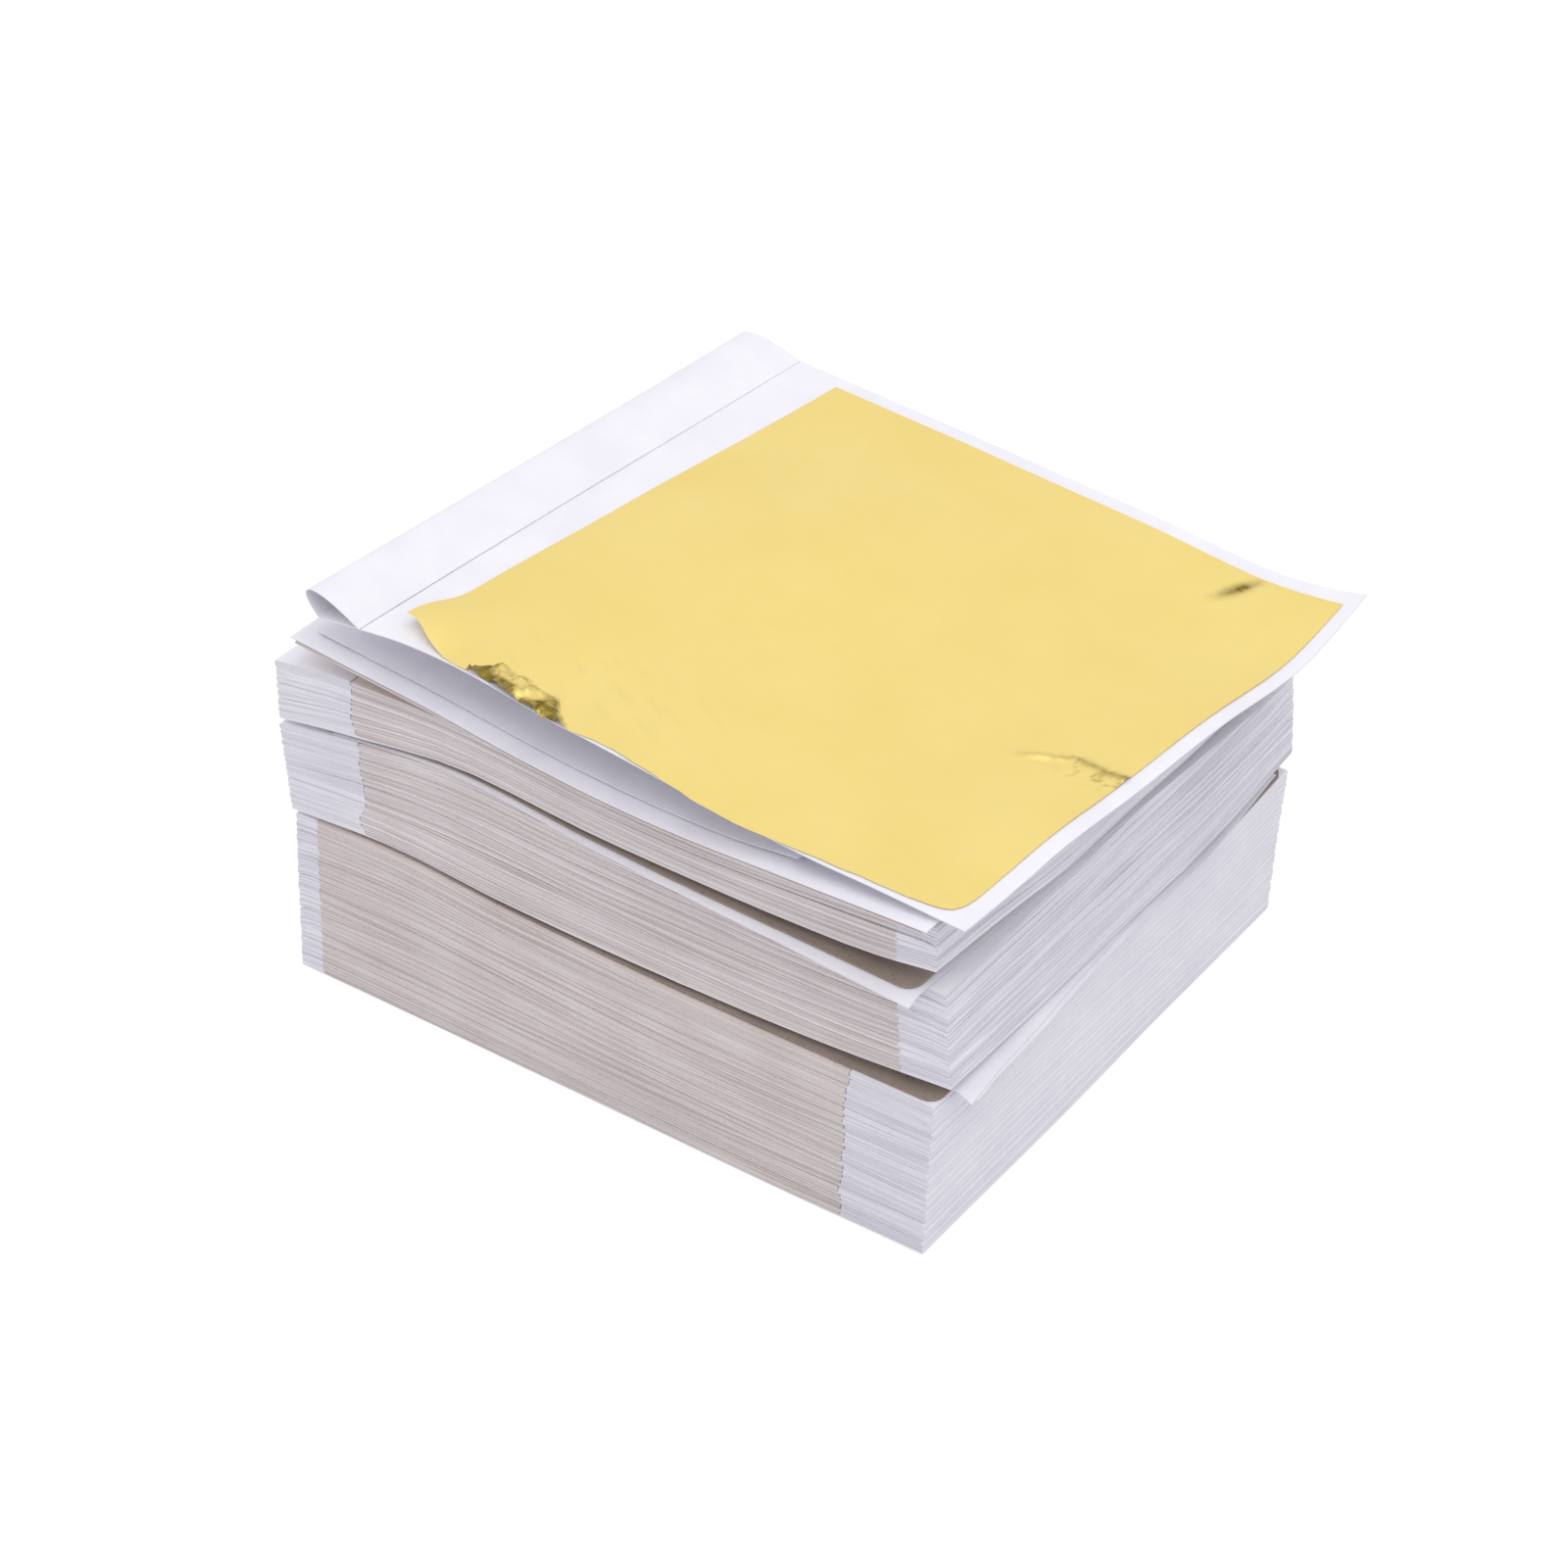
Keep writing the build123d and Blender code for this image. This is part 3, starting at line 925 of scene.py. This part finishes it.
# %% [markdown]
# The top folio's tissue rises in a long swell beside its crease, comes down to rest on the second
# folio at the front right-hand corner, and curls up at the back one. Its plan is set out by its
# four corners, because a sheet that swells and curls no longer covers a true rectangle. The
# corners are given as near left, near right, far right and far left.

# %% Bed of the top folio
TOP_CORNERS = ((-42.9, -42.2), (53.9, -43.1), (59.8, 39.9), (-38.75, 42.6))
CORNER_CURL = 2.4
SWELL = 2.0
RIPPLE = 0.06
top_front = curve(
    (-49.5, 59.13), (-43.6, 59.8), (-36, 60.6), (-29, 60.6), (-22, 60.0), (-12, 58.6),
    (-5, 58.0), (6.4, 56.8), (18, 55.6), (27, 54.9), (36, 54.7), (49.5, 54.2),
)
top_back = curve(
    (-49.5, 59.13), (-43, 59.2), (-36, 58.9), (-20, 58.2),
    (0, 57.2), (18, 56.3), (33, 55.3), (49.5, 54.9),
)


def top_bed(x, y):
    """Surface under the top folio, in its own plan."""
    ripple = RIPPLE * wobble(x, y, 19, 4.4)
    sag = between(15, 48, x) * (0.7 * bump(y, -22, 10) - 1.5 * bump(y, 26, 12))
    curl = CORNER_CURL * past(33, 49.5, x) * past(24, 42, y)
    swell = SWELL * bump(x, -11, 15) * bump(y, 8, 18)
    level = mix(top_front(x), top_back(x), smooth((y + HALF_WIDTH) / FOLIO_WIDTH))
    return level + sag + curl + swell + ripple


def between_corners(corners, along, across):
    """Place in the plan between four corners."""
    near = [mix(a, b, along) for a, b in zip(corners[0], corners[1])]
    far = [mix(a, b, along) for a, b in zip(corners[3], corners[2])]
    return tuple(mix(a, b, across) for a, b in zip(near, far))


def top_place(x, y, rise):
    """Point at a rise over the top folio's bed, from a place in the folio's own plan."""
    plan = between_corners(TOP_CORNERS, x / FOLIO_LENGTH + 0.5, y / FOLIO_WIDTH + 0.5)
    return *plan, top_bed(x, y) + rise


print("highest part of the front edge:", round(max(top_front(x) for x in range(-49, 50)), 1))

# %% [markdown]
# With the bed known, the tissue of the top folio is one more slab. It is drawn 0.14 mm thick,
# about five times what real tissue is, so that its edge still catches the light.

# %% Tissue of the top folio
TOP_WALL = 0.14
top_grid = (90, 70)


def top_sheet_place(column, across, through):
    """Place function of the top folio's tissue."""
    x = (spread(column / top_grid[0]) - 0.5) * FOLIO_LENGTH
    y = (spread(across) - 0.5) * FOLIO_WIDTH
    return top_place(x, y, mix(0, TOP_WALL, through))


top_sheet = new_piece()
add_slab(top_sheet, *top_grid, top_sheet_place)
finish_piece(
    "top_folio.tissue", top_sheet, tissue_paper, "top_folio_tissue", "top_folio"
)

# %% [markdown]
# The flap of the top folio is a piece of its own, because it turns about the crease. It stands as
# a loose roll at the front and lies flatter at the back. Both ends are the same kind of curve,
# drawn by four points, and every row between them is a blend of the two. The first number of a
# point says how far to the right of the crease it lies, and the second how far above.

# %% Flap of the top folio
TOP_TURN = radians(-2.8)
ROLL_REACH = 6.8
FLAT_REACH = 9.8
ROLL_REST = 0.2
FLAT_REST = 0.15
flap_grid = (30, 60)


def flap_profile(share, points):
    """Point on a curve that leaves the first point towards the second and ends at the fourth."""
    first, second, third, fourth = points
    rest = 1 - share
    return tuple(
        rest**3 * a + 3 * rest**2 * share * b + 3 * rest * share**2 * c + share**3 * d
        for a, b, c, d in zip(first, second, third, fourth)
    )


def flap_place(column, across, through):
    """Place function of the flap, from the crease to its free edge."""
    back = spread(across)
    y = (back - 0.5) * FOLIO_WIDTH
    low = top_bed(-HALF_LENGTH, y)
    roll_end = top_bed(ROLL_REACH - HALF_LENGTH, y) - low + ROLL_REST
    flat_end = top_bed(FLAT_REACH - HALF_LENGTH, y) - low + FLAT_REST
    roll = ((0, 0), (-4.0, 3.6), (-1.5, 5.6), (ROLL_REACH, roll_end))
    flat_roll = ((0, 0), (-1.4, 1.2), (2.5, 2.6), (FLAT_REACH, flat_end))

    def row_point(share):
        """Point on this row's blend of the two curves."""
        ends = zip(flap_profile(share, roll), flap_profile(share, flat_roll))
        return [mix(a, b, back) for a, b in ends]

    share = column / flap_grid[0]
    here = row_point(share)
    ahead = row_point(share + 0.01)
    step = Vector((ahead[0] - here[0], ahead[1] - here[1])).normalized()
    offset = (through - 0.5) * TOP_WALL
    crease_x, crease_y, crease_z = top_place(-HALF_LENGTH, y, TOP_WALL / 2)
    x, aside = turned(here[0] - step.y * offset, 0, TOP_TURN)
    return crease_x + x, crease_y + aside, crease_z + here[1] + step.x * offset


flap = new_piece()
add_slab(flap, *flap_grid, flap_place)
finish_piece(
    "top_folio.flap", flap, tissue_paper, "top_folio_flap", "top_folio_flap"
)

# %% [markdown]
# The bare leaf is what the eye goes to. It is so thin that it shows every touch: its left-hand
# corner curls up, a strip of its front edge is torn and crumpled together, a crease runs in from
# the right-hand edge, and a finger has left a dimple near the back corner. All but the curl are
# small functions here, which tell how strongly a place on the flat leaf is marked, from 0 to 1.

# %% Marks on the bare leaf
STRIP_LEFT = (-30.5, -27.5)
STRIP_RIGHT = (-13.5, -20)
STRIP_DEPTH = 3.7
CREASE_START = (27, 30)
CREASE_WIDTH = 0.6
DENT_PLACE = (28.2, 36.6)
DENT_WAY = (0.45, 0.89)
DENT_LONG = 2.8
DENT_SHORT = 0.9


def ridges(x, y, size, seed):
    """Sharp folds like those of crumpled foil, from 0 to 1."""
    return 1 - min(abs(2.2 * wobble(x, y, size, seed)), 1)


def crumple(x, y):
    """Strength of the crumpled strip at the front edge."""
    reach = between(*STRIP_LEFT, x) * between(*STRIP_RIGHT, x)
    edge = reach * (STRIP_DEPTH + 0.6 * wobble(x, 0, 2.5, 4.1)) - LEAF_WIDTH / 2
    return between(edge, edge - 0.6, y)


def side_crease(x, y):
    """Strength of the crease that runs in from the right-hand edge."""
    crease_y = -9.8 + 3.7 * between(26, 38, x) + 0.7 * wobble(x, 0, 3, 2.2)
    return between(*CREASE_START, x) * bump(y, crease_y, CREASE_WIDTH)


def dent(x, y):
    """Strength of the dimple near the back right-hand corner."""
    from_x, from_y = x - DENT_PLACE[0], y - DENT_PLACE[1]
    along = DENT_WAY[0] * from_x + DENT_WAY[1] * from_y
    aside = DENT_WAY[1] * from_x - DENT_WAY[0] * from_y
    return bump(along, 0, DENT_LONG) * bump(aside, 0, DENT_SHORT)


def touch(x, y):
    """Strength of the faint folds that fingers left beside the crumpled strip."""
    folds = between(0.15, 0.5, wobble(0.28 * x, y + 0.5 * x, 1.5, 7.1))
    return folds * bump(x, -14, 14) * bump(y, -31, 7)


print("dimple in its middle:", dent(*DENT_PLACE))

# %% [markdown]
# The marks are used twice. As a height they fold the leaf itself, together with some slow hills. As a
# depth they tell where folds lie close together, and the finish paints shade there: a dark tone that
# stands for metal between two folds, which sees only more dark metal.

# %% Relief and painted fold shade of the marks
HILL_HEIGHT = 0.08
SMALL_HILL_HEIGHT = 0.02
TORN_HEIGHT = 0.8
SMALL_TORN_HEIGHT = 0.5
CREASE_HEIGHT = 0.35
TOUCH_HEIGHT = 0.12
DENT_DEPTH = 0.12


def leaf_relief(x, y):
    """Height of the creases and folds of the bare leaf over its bed."""
    hills = HILL_HEIGHT * wobble(x, y, 14, 1.3) + SMALL_HILL_HEIGHT * wobble(x, y, 6, 9.1)
    folds = TORN_HEIGHT * ridges(x, y, 3.0, 5.5) + SMALL_TORN_HEIGHT * ridges(x, y, 1.3, 8.2)
    torn = crumple(x, y) * folds
    crease = CREASE_HEIGHT * side_crease(x, y) * (0.4 + ridges(x, y, 2.0, 3.3))
    return hills + torn + crease + TOUCH_HEIGHT * touch(x, y) - DENT_DEPTH * dent(x, y)


def fold_shade_depth(x, y):
    """How much painted shade a place on the leaf gets for lying deep in folds, from 0 to 1."""
    facets = between(0.0, 0.12, wobble(x, 1.6 * y, 3.2, 5.5))
    facets += bump(x, -17, 2.0) + bump(x, -28.5, 1.2)
    fine = between(0.0, 0.2, wobble(x, y, 1.1, 2.9))
    folds = crumple(x, y) * min(0.10 + 0.70 * facets + 0.25 * fine, 1)
    wrinkled = side_crease(x, y) * (0.20 + 0.35 * between(31, 37, x))
    beside = between(32, 37, x) * bump(y, -7.6, 1.7) * between(0.55, 0.95, ridges(x, y, 1.8, 6.6))
    return min(folds + wrinkled + 0.5 * beside + 0.9 * dent(x, y) + 0.06 * touch(x, y), 1)


print("depth in the crumpled strip:", round(fold_shade_depth(-22, -38), 2))

# %% [markdown]
# The leaf has many more rows and columns than the paper, about one every 0.4 mm, because its
# folds are fine. Its outline isn't straight either: the near right-hand corner is worn round, the
# near left-hand corner curls up and inwards, and the front edge is pulled in and out a little.

# %% Bare leaf
LEAF_CORNERS = ((-37.4, -41.8), (47.0, -41.2), (47.6, 39.6), (-31.9, 39.6))
LEAF_RISE = 0.26
LEAF_WALL = 0.05
LEAF_CURL = 2.0
PULL_REACH = 8
bare_grid = (210, 190)


def leaf_plan(column, across):
    """Place on the flat leaf, from its middle."""
    return (column / bare_grid[0] - 0.5) * LEAF_LENGTH, (across - 0.5) * LEAF_WIDTH


def leaf_place(column, across, through):
    """Place function of the bare leaf on the top folio's bed."""
    x, y = leaf_plan(column, across)
    near = max(1 - across * LEAF_WIDTH / PULL_REACH, 0)
    corner = between(-33, -42, x) * between(-26, -40, y)
    rounded = past(37, 42, x) * past(-35, -40, y)
    pull = near * (0.4 * between(30, 42, x) - 0.9 * bump(x, -19, 6) - 1.3 * bump(x, 9, 10))
    pull += near * 0.2 * wobble(x, 0, 3, 7.7) + 1.2 * rounded
    bed_x, bed_y = between_corners(LEAF_CORNERS, column / bare_grid[0], across)
    bed_x += -0.2 * corner - 0.9 * rounded
    bed_y += 3.0 * corner + pull
    rise = LEAF_RISE + LEAF_CURL * corner + leaf_relief(x, y) + mix(0, LEAF_WALL, through)
    return top_place(bed_x, bed_y, rise)


def leaf_fold_shade(column, across):
    """How much painted fold shade a point of the leaf gets."""
    return fold_shade_depth(*leaf_plan(column, across))


# The crease layer of the leaf holds how much painted shade its folds get.
bare_leaf = new_piece("crease")
add_slab(bare_leaf, *bare_grid, leaf_place, crease=leaf_fold_shade)
finish_piece(
    "top_gold_leaf.sheet", bare_leaf, gold_leaf, "top_gold_leaf", "top_gold_leaf"
)

# %% [markdown]
# The stack stands on a plain white sweep. A floor that is pure white to the camera would throw too
# much light back up, so it has two finishes: a matt light grey for the light that bounces, and for
# what the camera and reflections see an even white glow over a darker grey, which leaves the
# stack's soft shadow faint. One function tells the two kinds of ray apart.


# %% Floor
def seen_openly(tree):
    """1 for rays from the camera, in reflections or through something clear, or else 0."""
    path = add_node(tree, "ShaderNodeLightPath")
    seen = work_out(tree, "MAXIMUM", path.outputs["Is Camera Ray"], path.outputs["Is Glossy Ray"])
    return work_out(tree, "MAXIMUM", seen, path.outputs["Is Transmission Ray"])


floor_mesh = bmesh.new()
bmesh.ops.create_grid(floor_mesh, x_segments=1, y_segments=1, size=3.0)
floor_data = bpy.data.meshes.new("floor")
floor_mesh.to_mesh(floor_data)
floor_mesh.free()
floor = bpy.data.objects.new("floor", floor_data)
scene.collection.objects.link(floor)
white_floor, floor_tree = new_material("matt white studio floor")
floor_clear = seen_openly(floor_tree)
floor_matt = add_node(floor_tree, "ShaderNodeBsdfDiffuse", {"Color": linear("DADADD")})
floor_faint = add_node(floor_tree, "ShaderNodeBsdfDiffuse", {"Color": linear("9A9A9C")})
floor_glow = add_node(
    floor_tree, "ShaderNodeEmission", {"Color": linear("FFFFFF"), "Strength": 0.75}
)
floor_bright = add_node(
    floor_tree, "ShaderNodeAddShader", {0: floor_faint.outputs[0], 1: floor_glow.outputs[0]}
)
floor_mix = add_node(
    floor_tree,
    "ShaderNodeMixShader",
    {0: floor_clear, 1: floor_matt.outputs[0], 2: floor_bright.outputs[0]},
)
surface(floor_tree, floor_mix)
floor_data.materials.append(white_floor)
print("floor:", floor.name)

# %% [markdown]
# The light comes mostly from an even, pale surround, as in a white tent. It is a little weaker for
# the light on the stack than for the camera, so that the white paper keeps its shades while the
# background stays white.

# %% Surround
LIGHT_ON_STACK = 0.79
world = bpy.data.worlds.new("studio surround")
scene.world = world
world.use_nodes = True
world_tree = world.node_tree
world_tree.nodes.clear()
world_level = ranged(world_tree, seen_openly(world_tree), 0.0, 1.0, LIGHT_ON_STACK, 1.0)
world_light = add_node(
    world_tree, "ShaderNodeBackground", {"Color": linear("FCFCFF"), "Strength": world_level}
)
add_node(world_tree, "ShaderNodeOutputWorld", {"Surface": world_light.outputs[0]})
print("light on the stack:", LIGHT_ON_STACK)

# %% [markdown]
# One large soft light hangs nearly overhead, a little to the front and the right, and gives the
# upper faces more light than the sides. A faint one at the front left lifts the front faces. A
# light shines along its own -Z, so each is turned to point its +Z away from the stack.


# %% Softboxes
def add_softbox(name, place, width, height, watts):
    """Large rectangular light at a place in metres, turned to face the stack."""
    softbox_data = bpy.data.lights.new(name, "AREA")
    softbox_data.shape = "RECTANGLE"
    softbox_data.size = width
    softbox_data.size_y = height
    softbox_data.energy = watts
    softbox = bpy.data.objects.new(name, softbox_data)
    softbox.location = place
    softbox.rotation_euler = softbox.location.to_track_quat("Z", "Y").to_euler()
    scene.collection.objects.link(softbox)
    print(name, "watts:", watts)


add_softbox("overhead softbox", (0.26, -0.20, 1.0), 0.9, 0.7, 3.0)
add_softbox("front softbox", (-0.50, -1.0, 0.60), 0.9, 0.6, 0.6)
